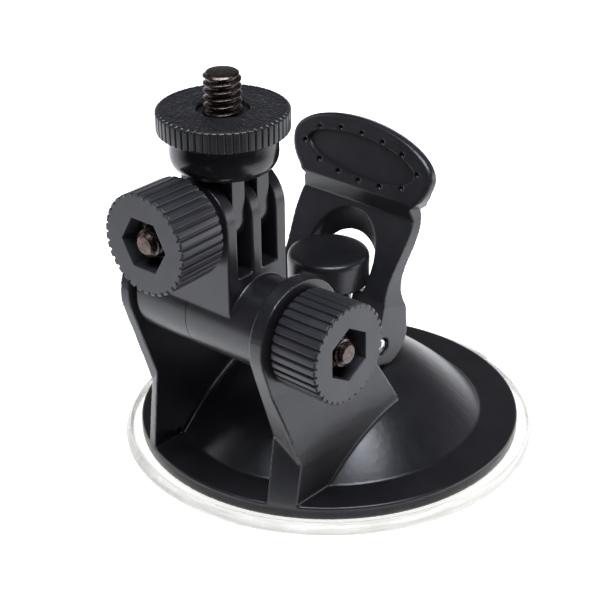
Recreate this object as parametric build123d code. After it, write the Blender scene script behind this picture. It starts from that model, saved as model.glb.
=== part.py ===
"""Suction-cup camera mount: cup and lever base, tilting arm, swivel head with a 1/4-20 stud.

Frame: millimetres, +Z up. The origin is the centre of the cup's resting face.
+X runs along the arm's cross barrel towards its clamping knob, -Y is the arm side
and +Y is the side the cam lever folds towards. The lever is modelled upright (released).
"""
from build123d import *
import math
import os

# ---- suction cup -------------------------------------------------------------------
CUP_R = 38.3            # outer radius of the soft disc
CUP_LIP_R = 37.3        # radius of the top of the sloped rim
CUP_LIP_H = 1.9         # height of the rim around the flange
CUP_T = 1.2             # thickness under the flange
CUP_EDGE_T = 0.35       # height of the upright edge at the floor
CUP_LIP_W = 0.4         # width of the rim's flat top
CUP_INNER_R = 36.0      # foot of the rim's inner slope
TAB_HALF_W = 9.5        # half width of the pull tab
TAB_END_Y = 44.4        # reach of the pull tab
TAB_T = 1.1
TAB_ROOT_Y = 30.0
TAB_CORNER_R = 3.0

# ---- base housing ------------------------------------------------------------------
FLANGE_R = 35.3
FLANGE_TOP = 3.7
PLATEAU_Z = 16.2        # flat top of the dome, where the cam lobes bear
DOME_OUTER = [(28.4, FLANGE_TOP), (25.1, 6.9), (20.3, 10.9), (14.6, 14.6), (10.6, PLATEAU_Z)]
DOME_INNER = [(26.2, CUP_T), (22.4, 6.3), (16.0, 10.8), (10.0, 13.8)]
GUIDE_R = 6.8           # sleeve that guides the plunger
GUIDE_BORE_R = 4.3
GUIDE_BOTTOM = 7.2

# ---- cheeks that carry the barrel --------------------------------------------------
PIVOT_Y = -26.3         # lower pivot, axis along X
PIVOT_Z = 35.1
CHEEK_OUT_X = 16.3      # outer face above the flare
CHEEK_FLARE_Z = 26.2    # height where the outer face starts to flare out to the foot
RIGHT_END_R = 10.0
RIGHT_IN_X = 13.4       # inner face
RIGHT_FOOT_X = 18.2     # outer face at the flange
RIGHT_KNEE_X = 17.9     # outer face at the knee
RIGHT_KNEE = (-30.4, 15.5)      # a point on the sloping front edge (y, z)
LEFT_END_R = 8.8
LEFT_IN_X = 14.1
LEFT_FOOT_X = 16.8
LEFT_KNEE_X = 16.6
LEFT_KNEE = (-29.2, 15.5)
LEFT_CHEEK_LEAN = 3.0   # outward lean of the left cheek, degrees
BOLT_BOSS_X = -19.8     # end of the boss on the left cheek that holds the bolt head
BOLT_BOSS_ROOT_X = -17.0
BOLT_BOSS_R = 6.0
CHEEK_BACK = (-2.1, 13.4)       # lower back corner (y, z)
FOOT_LEAN = 8.0         # lean of the foot's front face, degrees
FOOT_TOP_Z = 18.0
FLANGE_CHAMFER = 0.25
ARC_STEPS = 24          # straight steps in the round end's outline

# ---- M5 hardware -------------------------------------------------------------------
M5_R = 2.5
M5_HOLE_R = 2.65
M5_AF = 8.0             # nut and head across flats
M5_NUT_T = 4.0
M5_HEAD_T = 3.0
M5_CHAMFER = 0.6
NUT_BORE_R = 2.56
NUT_CHAMFER = 0.5
SOCKET_GAP = 0.3        # play of a bolt head in its hexagonal socket
FACE_GAP = 0.05         # gap between stacked faces
WASHER_R = 5.0

# ---- arm ---------------------------------------------------------------------------
BARREL_R = 8.0
BARREL_RIGHT = 12.6
BARREL_LEFT = -15.1
BARREL_CHAMFER = 0.4
PIVOT_WASHER_RIGHT_R = 7.0
PIVOT_WASHER_LEFT_R = 5.0
PIVOT_WASHER_LEFT_X = -15.4
HEAD_Y = -26.5          # swivel head axis
TILT_Z = 54.1           # upper pivot, axis along Y
FIN_R = 7.0
FIN_T = 2.4
FIN_PITCH = 6.0
FIN_GAP_FLOOR = 44.6
FIN_BOSS_T = 1.8        # round boss in front of the first fin
FIN_BOSS_R = 5.6
HEAD_SEAT_D = 0.8       # hexagonal recess behind the last fin that holds the bolt head

# ---- knobs -------------------------------------------------------------------------
KNOB_R = 8.85
KNOB_RIBS = 34
KNOB_GROOVE_R = 0.56
KNOB_L = 10.0
KNOB_WEB = 2.9          # wall behind the nut
KNOB_POCKET_AF = 8.5
KNOB_CHAMFER = 0.35
BOLT_SUNK = 0.1         # how far the bolt's end lies below the knob's face
BARREL_KNOB_X = 16.75   # back face of the lower knob
HEAD_KNOB_Y = -36.0     # back face of the upper knob

# ---- swivel head -------------------------------------------------------------------
HEAD_FIN_T = 3.1
HEAD_FIN_R = 5.8
COLLAR_Z = 62.0
COLLAR = [(8.2, COLLAR_Z), (8.95, 63.1), (9.15, 65.2), (8.75, 68.0)]
STUD_R = 3.175          # 1/4-20 thread, major radius
STUD_RELIEF_R = 2.75    # root radius below the free end
STUD_TOP = 78.2
STUD_HEX_AF = 9.5
STUD_HEX_Z = 63.2
STUD_HEX_T = 2.6
RING_Z = 68.05
RING_TOP = 72.0
RING_R = 11.2
RING_CHAMFER = 0.4
RING_NOTCH_R = 0.4
RING_NOTCH_OUT = 0.12   # how far outside the rim the notches are centred
RING_RIBS = 56
RING_BORE_R = 4.5
INSERT_R = 4.5
INSERT_TOP = 71.2
INSERT_BORE_R = 2.85

# ---- plunger and cam lever ---------------------------------------------------------
PIN_Z = 20.5
PIN_R = 1.55
PIN_HOLE_R = 1.62
PIN_HALF = 12.5
PIN_CHAMFER = 0.3
STEM_R = 4.2
FOOT_R = 9.5
FOOT_TOP = 2.7
FOOT_CONE = 1.5         # height and width of the cone where the stem meets its foot
CAP_R = 7.5
CAP_Z = 30.2
CAP_TOP = 36.2
CAP_TOP_ROUND = 1.6
CAP_LOW_ROUND = 0.5
CAP_SPIGOT_R = 2.4
CAP_SPIGOT_L = 3.0
LEVER_LEAN = 16.6       # rest angle from vertical, towards +Y, degrees
CAM_CLEAR = 0.05        # gap between the lobes and the plateau at rest
CAM_RATE = 1.84         # lift per radian of lever travel
CAM_TRAVEL = 78.0       # degrees
LEG_OUT = 12.8
LEG_IN = 5.2
LEVER_WAIST = (12.3, 12.0)      # half width and height of the legs' narrowest place
LEVER_HIP = (12.9, 18.0)
LEVER_NECK = (12.2, 25.9)       # where the neck meets the paddle
PADDLE_H = 32.2         # height of the paddle's widest place, measured from the pin along the lever
PADDLE_A = 16.2         # half width
PADDLE_UP = 6.8         # reach above the widest place
PADDLE_DOWN = 9.6       # reach of the fuller lower half before the neck cuts it
PADDLE_FRONT = -0.4     # y of the paddle's front face in the lever's own frame
PADDLE_T = 2.3
PADDLE_LOW = 26.6       # lower edge of the paddle's face
PADDLE_CEILING = 41.0   # above the whole lever
PADDLE_TURN = 3.0       # clockwise turn of the oval seen from the front, degrees
RECESS_A = 12.3
RECESS_B = 3.5
RECESS_D = 0.6
DIMPLES = 12
DIMPLE_A = 13.2
DIMPLE_B = 4.2
DIMPLE_R = 0.45
DIMPLE_SHIFT = 0.16     # how far the row of dimples is turned from the oval's end, in dimple steps
LEG_SPLIT_H = 9.0       # height where the gap between the legs becomes the arch
# sections of the arched opening: y, centre height, half width, half height
ARCH = [(4.8, 12.6, 5.0, 4.8), (2.8, 13.0, 5.6, 5.4), (1.4, 13.0, 7.1, 9.6), (-2.6, 13.5, 8.0, 12.3)]
LEG_FRONT = (-2.0, 8.4)
LEG_BACK = (4.8, 7.6)
LEG_TOE = [(-2.1, -2.6), (-1.0, -3.7)]
LEG_BACK_MID = (3.0, 17.0)
NECK_BACK = (4.2, 23.4)
NECK_FRONT_MID = (0.1, 18.2)
SHELF = (1.6, 23.6)     # hollow of the neck under the paddle
PADDLE_BACK_H = 29.5    # where the back of the neck meets the back of the paddle
OVER = 20.0             # half length of tool bodies that pass right through the lever


def disc(radius, z_low, z_high):
    """Upright cylinder between two heights."""
    return Pos(0, 0, (z_low + z_high) / 2) * Cylinder(radius, z_high - z_low)


def rod_x(radius, x_low, x_high, y, z):
    """Cylinder along X."""
    return Pos((x_low + x_high) / 2, y, z) * Rot(0, 90, 0) * Cylinder(radius, x_high - x_low)


def rod_y(radius, y_low, y_high, x, z):
    """Cylinder along Y."""
    return Pos(x, (y_low + y_high) / 2, z) * Rot(90, 0, 0) * Cylinder(radius, y_high - y_low)


def block(x_low, x_high, y_low, y_high, z_low, z_high):
    """Box between two corners."""
    centre = Pos((x_low + x_high) / 2, (y_low + y_high) / 2, (z_low + z_high) / 2)
    return centre * Box(x_high - x_low, y_high - y_low, z_high - z_low)


def hexagon(across_flats, length):
    """Hexagonal bar standing on the XY plane."""
    return extrude(RegularPolygon(across_flats / 2, 6, major_radius=False), length)


def turned(points, smooth=False):
    """Solid of revolution about Z from (radius, z) points, closed on the axis at both ends."""
    path = [(r, 0, z) for r, z in points]
    side = Spline(*path) if smooth else Polyline(*path)
    ends = Polyline(path[-1], (0, 0, path[-1][2]), (0, 0, path[0][2]), path[0])
    return revolve(make_face(side + ends), Axis.Z, 360)


def slab_yz(points, x_low, x_high):
    """Plate with a (y, z) outline, between two X planes."""
    face = make_face(Polyline(*[(x_low, y, z) for y, z in points], close=True))
    return extrude(face, x_high - x_low, dir=(1, 0, 0))


def tangent(point, centre, radius, side):
    """Where a line from a point touches a circle; side picks one of the two."""
    dy = point[0] - centre[0]
    dz = point[1] - centre[1]
    reach = math.hypot(dy, dz)
    angle = math.atan2(dz, dy) + side * math.acos(radius / reach)
    return (centre[0] + radius * math.cos(angle), centre[1] + radius * math.sin(angle)), angle


# ---- suction cup -------------------------------------------------------------------
rim = [(CUP_R, 0), (CUP_R, CUP_EDGE_T), (CUP_LIP_R, CUP_LIP_H), (CUP_LIP_R - CUP_LIP_W, CUP_LIP_H)]
cup = turned(rim + [(CUP_INNER_R, CUP_T)])
tab = block(-TAB_HALF_W, TAB_HALF_W, TAB_ROOT_Y, TAB_END_Y, 0, TAB_T)
tab = fillet(tab.edges().filter_by(Axis.Z).group_by(Axis.Y)[-1], TAB_CORNER_R)
suction_cup = cup + tab

# ---- base housing: flange, hollow dome, plunger guide and cheeks -------------------
flange = disc(FLANGE_R, CUP_T, FLANGE_TOP)
flange = chamfer(flange.edges().group_by(Axis.Z)[-1], FLANGE_CHAMFER)
dome = turned(DOME_OUTER, smooth=True)
cavity = turned(DOME_INNER, smooth=True)
guide = disc(GUIDE_R, GUIDE_BOTTOM, PLATEAU_Z)


def flare_waste(foot_x, knee_x, knee_z):
    """Solid outside the cheek's outer face, which is upright and then flares out to the foot."""
    top = 2 * PIVOT_Z
    far = 2 * foot_x
    high = (CHEEK_OUT_X, CHEEK_FLARE_Z)
    curve = Spline(*[(x, 0, z) for x, z in ((foot_x, FLANGE_TOP), (knee_x, knee_z), high)])
    sides = [high, (CHEEK_OUT_X, top), (far, top), (far, FLANGE_TOP), (foot_x, FLANGE_TOP)]
    outline = make_face(curve + Polyline(*[(x, 0, z) for x, z in sides]))
    return extrude(outline, 2 * FLANGE_R, dir=(0, 1, 0), both=True)


def cheek(end_r, in_x, foot_x, knee_x, knee):
    """Cheek on the +X side: round end, sloping front and back, foot flush with the flange rim."""
    centre = (PIVOT_Y, PIVOT_Z)
    front, front_angle = tangent(knee, centre, end_r, -1)
    back, back_angle = tangent(CHEEK_BACK, centre, end_r, 1)
    sweep = (front_angle - back_angle) % (2 * math.pi)
    arc = [back_angle + sweep * i / ARC_STEPS for i in range(ARC_STEPS + 1)]
    crown = [(centre[0] + end_r * math.cos(a), centre[1] + end_r * math.sin(a)) for a in arc]
    slope = (knee[0] - front[0]) / (knee[1] - front[1])
    toe = (knee[0] + slope * (CUP_T - knee[1]), CUP_T)
    web = slab_yz([(CHEEK_BACK[0], CUP_T), CHEEK_BACK] + crown + [toe], in_x, foot_x)
    rise = FOOT_TOP_Z - FLANGE_TOP
    cone = Cone(FLANGE_R, FLANGE_R - rise * math.tan(math.radians(FOOT_LEAN)), rise)
    foot = Pos(0, 0, FLANGE_TOP + rise / 2) * cone
    foot = foot & block(in_x, foot_x, -FLANGE_R, PIVOT_Y, FLANGE_TOP, FOOT_TOP_Z)
    return (web + foot) - flare_waste(foot_x, knee_x, knee[1])


right_cheek = cheek(RIGHT_END_R, RIGHT_IN_X, RIGHT_FOOT_X, RIGHT_KNEE_X, RIGHT_KNEE)
upright_left = mirror(cheek(LEFT_END_R, LEFT_IN_X, LEFT_FOOT_X, LEFT_KNEE_X, LEFT_KNEE), Plane.YZ)
left_foot = Pos(-LEFT_IN_X, 0, FLANGE_TOP)
left_cheek = left_foot * Rot(0, -LEFT_CHEEK_LEAN, 0) * left_foot.inverse() * upright_left
left_cheek = left_cheek & block(-2 * FLANGE_R, 0, -FLANGE_R - 5, FLANGE_R, CUP_T, 2 * PIVOT_Z)
housing = flange + dome + right_cheek + left_cheek
housing = housing - cavity + guide
housing = housing + rod_x(BOLT_BOSS_R, BOLT_BOSS_X, BOLT_BOSS_ROOT_X, PIVOT_Y, PIVOT_Z)
bolt_socket = Pos(BOLT_BOSS_X, PIVOT_Y, PIVOT_Z) * Rot(0, 90, 0) * hexagon(M5_AF + SOCKET_GAP, M5_HEAD_T)
housing = housing - bolt_socket
housing = housing - rod_x(M5_HOLE_R, -20, 20, PIVOT_Y, PIVOT_Z)
base_housing = housing - disc(GUIDE_BORE_R, 0, 30)

# ---- plunger: foot on the cup, stem through the guide, mushroom cap ----------------
stem = disc(FOOT_R, CUP_T, FOOT_TOP) + disc(STEM_R, FOOT_TOP, CAP_Z)
stem = stem + Pos(0, 0, FOOT_TOP + FOOT_CONE / 2) * Cone(STEM_R + FOOT_CONE, STEM_R, FOOT_CONE)
stem = stem - rod_x(PIN_R, -10, 10, 0, PIN_Z)
plunger_stem = stem + disc(CAP_SPIGOT_R, CAP_Z, CAP_Z + CAP_SPIGOT_L)
cap = disc(CAP_R, CAP_Z, CAP_TOP)
cap = fillet(cap.edges().group_by(Axis.Z)[-1], CAP_TOP_ROUND)
cap = fillet(cap.edges().group_by(Axis.Z)[0], CAP_LOW_ROUND)
plunger_cap = cap - disc(CAP_SPIGOT_R, CAP_Z - 1, CAP_Z + CAP_SPIGOT_L)
pin = rod_x(PIN_R, -PIN_HALF, PIN_HALF, 0, PIN_Z)
cross_pin = chamfer(pin.edges().filter_by(GeomType.CIRCLE), PIN_CHAMFER)


# ---- cam lever: forked legs with cam lobes, arched opening, oval paddle ------------
def cam_outline():
    """(y, z) points of the lobe whose lift grows evenly with the lever's angle."""
    base = PIN_Z - PLATEAU_Z - CAM_CLEAR
    points = []
    steps = 26
    for i in range(steps + 1):
        turn = math.radians(CAM_TRAVEL + 6) * i / steps
        lift = base + CAM_RATE * turn
        outward = (math.sin(turn), -math.cos(turn))
        along = (math.cos(turn), math.sin(turn))
        points.append((lift * outward[0] + CAM_RATE * along[0], lift * outward[1] + CAM_RATE * along[1]))
    return points


lean = math.radians(LEVER_LEAN)
lobe = [(y * math.cos(lean) - z * math.sin(lean), y * math.sin(lean) + z * math.cos(lean))
        for y, z in cam_outline()]
paddle_back = PADDLE_FRONT + PADDLE_T


def at_x(points, x):
    """(y, z) points placed on the plane at x."""
    return [(x, y, z) for y, z in points]


base_line = Polyline(*at_x([LEG_FRONT] + LEG_TOE + lobe + [LEG_BACK], -OVER))
back_line = Spline(*at_x([LEG_BACK, LEG_BACK_MID, NECK_BACK, (paddle_back, PADDLE_BACK_H)], -OVER))
paddle_line = Polyline(*at_x([(paddle_back, PADDLE_BACK_H), (paddle_back, PADDLE_CEILING),
                              (PADDLE_FRONT, PADDLE_CEILING), (PADDLE_FRONT, PADDLE_LOW), SHELF], -OVER))
front_line = Spline(*at_x([SHELF, NECK_FRONT_MID, LEG_FRONT], -OVER))
profile = extrude(make_face(base_line + back_line + paddle_line + front_line), 2 * OVER, dir=(1, 0, 0))


def front_view(points):
    """(x, height) points placed behind the lever."""
    return [(x, OVER, height) for x, height in points]


def leg_edge(side):
    """Curved outer edge of one leg, from the cam end up to the paddle."""
    points = [(LEG_OUT, LEG_BACK[1]), LEVER_WAIST, LEVER_HIP, LEVER_NECK]
    return Spline(*front_view([(side * x, height) for x, height in points]))


def half_ellipse(reach, low, high):
    """Part of an ellipse of the paddle's width, between two heights, standing behind the lever."""
    oval = Pos(0, OVER, PADDLE_H) * Rot(90, 0, 0) * extrude(Ellipse(PADDLE_A, reach), 2 * OVER)
    return oval & block(-OVER, OVER, -2 * OVER, 2 * OVER, low, high)


def arch_section(y, height, half_width, half_height):
    """Section of the arched opening; the opening narrows towards the back."""
    return Pos(0, y, height) * Rot(90, 0, 0) * Ellipse(half_width, half_height)


foot_line = Polyline(*front_view([(-LEG_OUT, LEG_BACK[1]), (-LEG_OUT, -LEG_OUT),
                                  (LEG_OUT, -LEG_OUT), (LEG_OUT, LEG_BACK[1])]))
neck_line = Polyline(*front_view([LEVER_NECK, (-LEVER_NECK[0], LEVER_NECK[1])]))
legs = extrude(make_face(foot_line + leg_edge(1) + neck_line + leg_edge(-1)), 2 * OVER, dir=(0, -1, 0))
paddle = half_ellipse(PADDLE_UP, PADDLE_H, PADDLE_CEILING)
paddle = paddle + half_ellipse(PADDLE_DOWN, PADDLE_H - PADDLE_DOWN, PADDLE_H)
paddle_turn = Pos(0, 0, PADDLE_H) * Rot(0, PADDLE_TURN, 0) * Pos(0, 0, -PADDLE_H)
lever = profile & (legs + paddle_turn * paddle)
lever = lever - block(-LEG_IN, LEG_IN, -OVER, OVER, -OVER, LEG_SPLIT_H)
arch = loft([arch_section(*section) for section in ARCH], ruled=True)
lever = lever - (arch & block(-OVER, OVER, -OVER, OVER, LEG_SPLIT_H, PADDLE_CEILING))
recess = Pos(0, PADDLE_FRONT + RECESS_D, PADDLE_H) * Rot(90, 0, 0) * extrude(Ellipse(RECESS_A, RECESS_B), 5)
lever = lever - paddle_turn * recess


def even_angles(count, half_width, half_height):
    """Angles of points spaced evenly along an ellipse, starting at its left end."""
    steps = 720
    walked = [0.0]
    for i in range(steps):
        turn = 2 * math.pi * (i + 0.5) / steps
        stride = math.hypot(half_width * math.sin(turn), half_height * math.cos(turn))
        walked.append(walked[-1] + stride)
    marks = [walked[-1] * (i + DIMPLE_SHIFT) / count for i in range(count)]
    return [math.pi + 2 * math.pi * sum(w < mark for w in walked) / steps for mark in marks]


for angle in even_angles(DIMPLES, DIMPLE_A, DIMPLE_B):
    spot = Pos(DIMPLE_A * math.cos(angle), PADDLE_FRONT, PADDLE_H + DIMPLE_B * math.sin(angle))
    lever = lever - paddle_turn * spot * Sphere(DIMPLE_R)
lever = Pos(0, 0, PIN_Z) * Rot(-LEVER_LEAN, 0, 0) * lever
cam_lever = lever - rod_x(PIN_HOLE_R, -OVER, OVER, 0, PIN_Z)

# ---- barrel bolt, washers ----------------------------------------------------------
BARREL_BOLT_END = BARREL_KNOB_X + KNOB_L - BOLT_SUNK
bolt = rod_x(M5_R, BOLT_BOSS_X + M5_HEAD_T / 2, BARREL_BOLT_END, PIVOT_Y, PIVOT_Z)
bolt = chamfer(bolt.edges().group_by(Axis.X)[-1], M5_CHAMFER)
bolt_head = Pos(BOLT_BOSS_X, PIVOT_Y, PIVOT_Z) * Rot(0, 90, 0) * hexagon(M5_AF, M5_HEAD_T - FACE_GAP)
barrel_bolt = bolt + bolt_head
washer = rod_x(WASHER_R, CHEEK_OUT_X + FACE_GAP, BARREL_KNOB_X - FACE_GAP, PIVOT_Y, PIVOT_Z)
cheek_washer = washer - rod_x(M5_HOLE_R, 10, 20, PIVOT_Y, PIVOT_Z)


def barrel_end_washer(radius, x_low, x_high):
    """Thin friction washer between the barrel and a cheek."""
    return rod_x(radius, x_low, x_high, PIVOT_Y, PIVOT_Z) - rod_x(M5_HOLE_R, -20, 20, PIVOT_Y, PIVOT_Z)


right_low, right_high = BARREL_RIGHT + FACE_GAP, RIGHT_IN_X - FACE_GAP
pivot_washer_right = barrel_end_washer(PIVOT_WASHER_RIGHT_R, right_low, right_high)
left_low, left_high = PIVOT_WASHER_LEFT_X, BARREL_LEFT - FACE_GAP
pivot_washer_left = barrel_end_washer(PIVOT_WASHER_LEFT_R, left_low, left_high)

# ---- tilt arm: barrel, three fins, boss and bolt socket ----------------------------
barrel = rod_x(BARREL_R, BARREL_LEFT, BARREL_RIGHT, PIVOT_Y, PIVOT_Z)
barrel = chamfer(barrel.edges().filter_by(GeomType.CIRCLE), BARREL_CHAMFER)
arm = barrel
for i in (-1, 0, 1):
    y_mid = HEAD_Y + i * FIN_PITCH
    arm = arm + block(-FIN_R, FIN_R, y_mid - FIN_T / 2, y_mid + FIN_T / 2, PIVOT_Z, TILT_Z)
    arm = arm + rod_y(FIN_R, y_mid - FIN_T / 2, y_mid + FIN_T / 2, 0, TILT_Z)
FIN_FRONT = HEAD_Y - FIN_PITCH - FIN_T / 2
FIN_BACK = HEAD_Y + FIN_PITCH + FIN_T / 2
arm = arm + block(-FIN_R, FIN_R, FIN_FRONT, FIN_BACK, PIVOT_Z, FIN_GAP_FLOOR)
arm = arm + rod_y(FIN_BOSS_R, FIN_FRONT - FIN_BOSS_T, FIN_FRONT, 0, TILT_Z)
arm = arm - Pos(0, FIN_BACK, TILT_Z) * Rot(90, 0, 0) * hexagon(M5_AF + SOCKET_GAP, HEAD_SEAT_D)
arm = arm - rod_y(M5_HOLE_R, -60, 0, 0, TILT_Z)
tilt_arm = arm - rod_x(M5_HOLE_R, -20, 20, PIVOT_Y, PIVOT_Z)

HEAD_BOLT_END = HEAD_KNOB_Y - KNOB_L + BOLT_SUNK
bolt = rod_y(M5_R, HEAD_BOLT_END, FIN_BACK, 0, TILT_Z)
bolt = chamfer(bolt.edges().group_by(Axis.Y)[0], M5_CHAMFER)
head_top = FIN_BACK - HEAD_SEAT_D + M5_HEAD_T
bolt_head = Pos(0, head_top, TILT_Z) * Rot(90, 0, 0) * hexagon(M5_AF, M5_HEAD_T)
head_bolt = bolt + bolt_head
washer = rod_y(WASHER_R, HEAD_KNOB_Y + FACE_GAP, FIN_FRONT - FIN_BOSS_T - FACE_GAP, 0, TILT_Z)
fin_washer = washer - rod_y(M5_HOLE_R, -60, 0, 0, TILT_Z)


# ---- clamping knobs with captured nuts ---------------------------------------------
def knob_body():
    """Ribbed knob standing on the XY plane with its nut pocket open at the top."""
    knob = Cylinder(KNOB_R, KNOB_L, align=(Align.CENTER, Align.CENTER, Align.MIN))
    knob = chamfer(knob.edges().group_by(Axis.Z)[-1], KNOB_CHAMFER)
    groove = Cylinder(KNOB_GROOVE_R, KNOB_L + 2, align=(Align.CENTER, Align.CENTER, Align.MIN))
    grooves = [Rot(0, 0, 360 * i / KNOB_RIBS) * Pos(KNOB_R, 0, -1) * groove for i in range(KNOB_RIBS)]
    knob = knob - grooves
    knob = knob - Pos(0, 0, KNOB_WEB) * hexagon(KNOB_POCKET_AF, KNOB_L)
    return knob - Cylinder(M5_HOLE_R, 40)


def nut_body():
    """Hex nut with chamfered corners, standing on the knob's inner wall."""
    nut = hexagon(M5_AF, M5_NUT_T)
    corner = M5_AF / math.sqrt(3)
    crown = Pos(0, 0, M5_NUT_T / 2) * Cylinder(corner, M5_NUT_T)
    crown = chamfer(crown.edges().filter_by(GeomType.CIRCLE), NUT_CHAMFER)
    nut = (nut & crown) - Cylinder(NUT_BORE_R, 40)
    return Pos(0, 0, KNOB_WEB) * nut


barrel_place = Pos(BARREL_KNOB_X, PIVOT_Y, PIVOT_Z) * Rot(0, 90, 0)
barrel_knob = barrel_place * knob_body()
barrel_knob_nut = barrel_place * nut_body()
head_place = Pos(0, HEAD_KNOB_Y, TILT_Z) * Rot(90, 0, 0)
head_knob = head_place * knob_body()
head_knob_nut = head_place * nut_body()

# ---- swivel head: collar, two fins, moulded-in stud --------------------------------
collar = turned(COLLAR, smooth=True)
collar = Pos(0, HEAD_Y, 0) * collar
head = collar
for i in (-0.5, 0.5):
    y_mid = HEAD_Y + i * FIN_PITCH
    y_low = y_mid - HEAD_FIN_T / 2
    y_high = y_mid + HEAD_FIN_T / 2
    head = head + block(-HEAD_FIN_R, HEAD_FIN_R, y_low, y_high, TILT_Z, COLLAR_Z + 1)
    head = head + rod_y(HEAD_FIN_R, y_low, y_high, 0, TILT_Z)
head = head - rod_y(M5_HOLE_R, -60, 0, 0, TILT_Z)
stud_hex = Pos(0, HEAD_Y, STUD_HEX_Z) * hexagon(STUD_HEX_AF, STUD_HEX_T)
shank = Pos(0, HEAD_Y, 0) * disc(STUD_RELIEF_R, STUD_HEX_Z, RING_TOP)
tripod_head = head - stud_hex - shank
stud_free = Pos(0, HEAD_Y, 0) * disc(STUD_R, RING_TOP, STUD_TOP)
camera_stud = stud_hex + shank + stud_free

ring = disc(RING_R, RING_Z, RING_TOP)
ring = chamfer(ring.edges().group_by(Axis.Z)[-1], RING_CHAMFER)
ring = chamfer(ring.edges().group_by(Axis.Z)[0], RING_CHAMFER)
notch = Pos(RING_R + RING_NOTCH_OUT, 0, RING_Z) * Cylinder(RING_NOTCH_R, 4 * (RING_TOP - RING_Z))
ring = ring - [Rot(0, 0, 360 * (i + 0.5) / RING_RIBS) * notch for i in range(RING_RIBS)]
locking_ring = Pos(0, HEAD_Y, 0) * (ring - disc(RING_BORE_R, 60, 80))
insert = disc(INSERT_R, RING_Z, INSERT_TOP) - disc(INSERT_BORE_R, 60, 80)
ring_insert = Pos(0, HEAD_Y, 0) * insert

# ---- export ------------------------------------------------------------------------
nodes = {
    "suction_cup": suction_cup, "base_housing": base_housing, "barrel_bolt": barrel_bolt,
    "cheek_washer": cheek_washer, "pivot_washer_right": pivot_washer_right,
    "pivot_washer_left": pivot_washer_left, "plunger_stem": plunger_stem, "plunger_cap": plunger_cap,
    "cross_pin": cross_pin, "cam_lever": cam_lever, "tilt_arm": tilt_arm, "head_bolt": head_bolt,
    "fin_washer": fin_washer, "barrel_knob": barrel_knob, "barrel_knob_nut": barrel_knob_nut,
    "head_knob": head_knob, "head_knob_nut": head_knob_nut, "tripod_head": tripod_head,
    "camera_stud": camera_stud, "locking_ring": locking_ring, "ring_insert": ring_insert,
}
os.makedirs("parts", exist_ok=True)
for name, shape in nodes.items():
    export_step(shape, f"parts/{name}.step")
    print(name, len(shape.solids()), round(shape.volume, 1))
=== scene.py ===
"""Looks for the suction-cup camera mount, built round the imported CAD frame.

Places and sizes come from the boxes of the CAD nodes. Lengths in this script are in
millimetres and turn into metres only where a mesh, a light or the camera is made.
"""
import bmesh
import bpy
import math
import numpy as np
from mathutils import Matrix, Vector, noise


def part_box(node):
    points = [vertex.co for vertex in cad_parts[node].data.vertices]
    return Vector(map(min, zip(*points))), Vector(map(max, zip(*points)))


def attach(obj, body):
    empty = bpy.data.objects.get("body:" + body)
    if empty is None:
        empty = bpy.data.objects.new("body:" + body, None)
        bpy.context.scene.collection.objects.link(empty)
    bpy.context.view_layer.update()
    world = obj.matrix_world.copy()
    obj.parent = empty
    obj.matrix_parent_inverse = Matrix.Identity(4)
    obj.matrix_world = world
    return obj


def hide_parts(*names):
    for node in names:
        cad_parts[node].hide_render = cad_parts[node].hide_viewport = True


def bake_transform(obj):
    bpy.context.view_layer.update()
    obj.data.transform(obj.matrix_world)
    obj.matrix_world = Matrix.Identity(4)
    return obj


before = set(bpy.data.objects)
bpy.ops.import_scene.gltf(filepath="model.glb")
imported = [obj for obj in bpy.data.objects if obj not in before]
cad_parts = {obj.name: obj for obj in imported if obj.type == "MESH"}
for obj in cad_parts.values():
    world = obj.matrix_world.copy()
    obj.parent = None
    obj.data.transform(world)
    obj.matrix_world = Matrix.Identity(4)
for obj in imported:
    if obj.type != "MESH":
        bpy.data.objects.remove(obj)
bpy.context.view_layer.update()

MM = 0.001
TURN = 2 * math.pi
X_AXIS, Y_AXIS, Z_AXIS = Vector((1, 0, 0)), Vector((0, 1, 0)), Vector((0, 0, 1))
ROUND_STEPS = 4          # points on each rounded corner of an outline

# ---- camera and light --------------------------------------------------------------
CAMERA_PLACE = (204.16, -240.12, 189.91)
CAMERA_AZIMUTH = 41.33   # degrees
CAMERA_ELEVATION = 27.49
CAMERA_ROLL = -0.69
CAMERA_LENS = 116.16     # for a 36 mm sensor
LIGHT_AIM = (0, -5, 35)
FLOOR_HALF = 1500
FLOOR_DROP = 0.02        # keeps the floor clear of the cup's underside
FLOOR_GLOW = 0.95
# Reflections see a dark room on the camera's side. Each pair is where that change starts and
# ends: two cosines of the angle to the camera's direction, then two distances on the floor.
DARK_SECTOR = (0.72, 0.90)      # the near floor
DARK_HALF = (-0.25, 0.20)       # the far floor and the walls
NEAR_FLOOR = (40, 58)
PAPER_END = (150, 280)

# ---- hardware and moulded details --------------------------------------------------
GROOVE_FLOOR, GROOVE_LIP = 0.55, 1.35   # where a groove's side starts and ends, in groove widths
KNOB_RIBS = 34
KNOB_GROOVE = 0.50       # depth of the grooves between ribs
KNOB_WEB = 2.9           # wall behind the nut
POCKET_FLATS = 8.5
RING_RIBS = 56
RING_GROOVE = 0.32
CREST_FLAT, THREAD_FLANK = 0.16, 0.60   # widths on a thread's profile, in half pitches
THREAD_ROWS = 24         # rows of points for each pitch
M5_FLATS = 8.0
M5_PITCH = 0.8
M5_DEPTH = 0.46
M5_CREST = 2.44
M5_END_CHAMFER = 0.9
STUD_PITCH = 1.27
STUD_DEPTH = 0.72
LEVER_LEAN = math.radians(16.6)
PADDLE_HEIGHT = 32.2     # paddle's widest place above the pin, along the lever
PADDLE_HALF_WIDTH = 16.2
PADDLE_TURN = math.radians(3.0)     # clockwise turn of the oval seen from the front
PADDLE_UP = 6.8          # reach of the paddle above its widest place
PADDLE_DOWN = 9.6        # reach of the fuller lower half before the neck cuts it
PADDLE_FRONT = -0.4
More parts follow.
